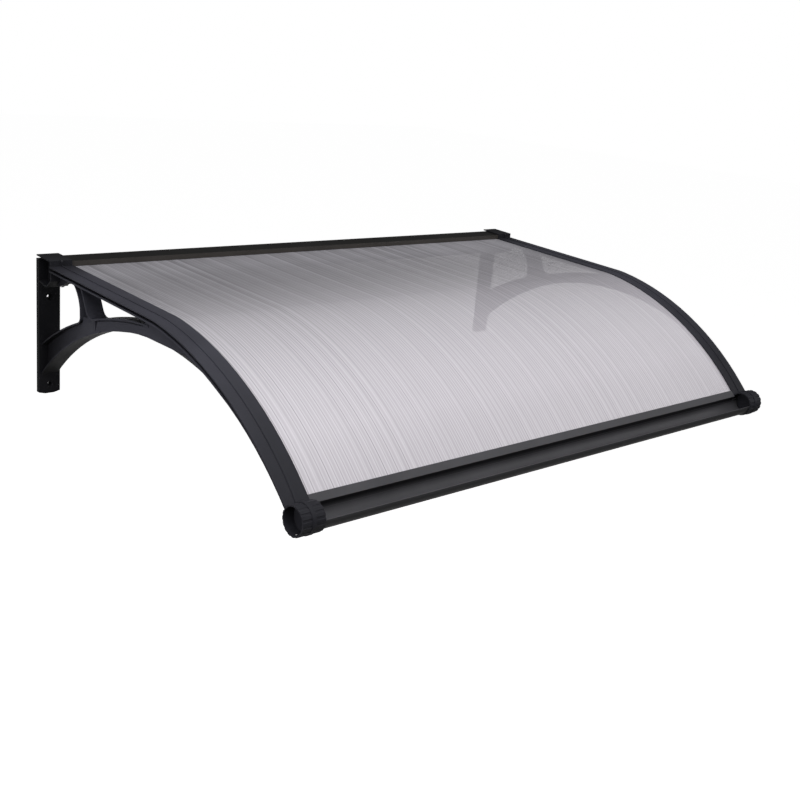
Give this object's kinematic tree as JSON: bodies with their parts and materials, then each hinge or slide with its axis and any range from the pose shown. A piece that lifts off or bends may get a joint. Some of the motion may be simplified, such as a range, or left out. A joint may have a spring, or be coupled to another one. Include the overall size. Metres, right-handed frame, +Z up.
{
  "type": "polycarbonate door canopy",
  "caption": "Door canopy: smoky polycarbonate sheet bent over two black moulded brackets, with a wall rail and a gutter rail.",
  "frame": {"origin": "middle of the left bracket's back face, on the wall plane", "axes": "+X along the wall to the right bracket, +Y into the wall, +Z up"},
  "size_m": [1.247, 0.8098, 0.2657],
  "materials": {
    "bracket_plastic": "satin",
    "glazing": "ribbed",
    "coated_rail": "satin",
    "gasket": "matte",
    "screw_steel": "zinc plated"
  },
  "bodies": {
    "root": {"left_bracket": "bracket_plastic", "right_bracket": "bracket_plastic", "roof_sheet": "glazing", "rear_wall_rail": "coated_rail", "front_gutter_rail": "coated_rail", "rear_gasket": "gasket", "front_gasket": "gasket", "left_rear_screw": "screw_steel", "right_rear_screw": "screw_steel", "left_front_screw": "screw_steel", "right_front_screw": "screw_steel"}
  },
  "joints": []
}
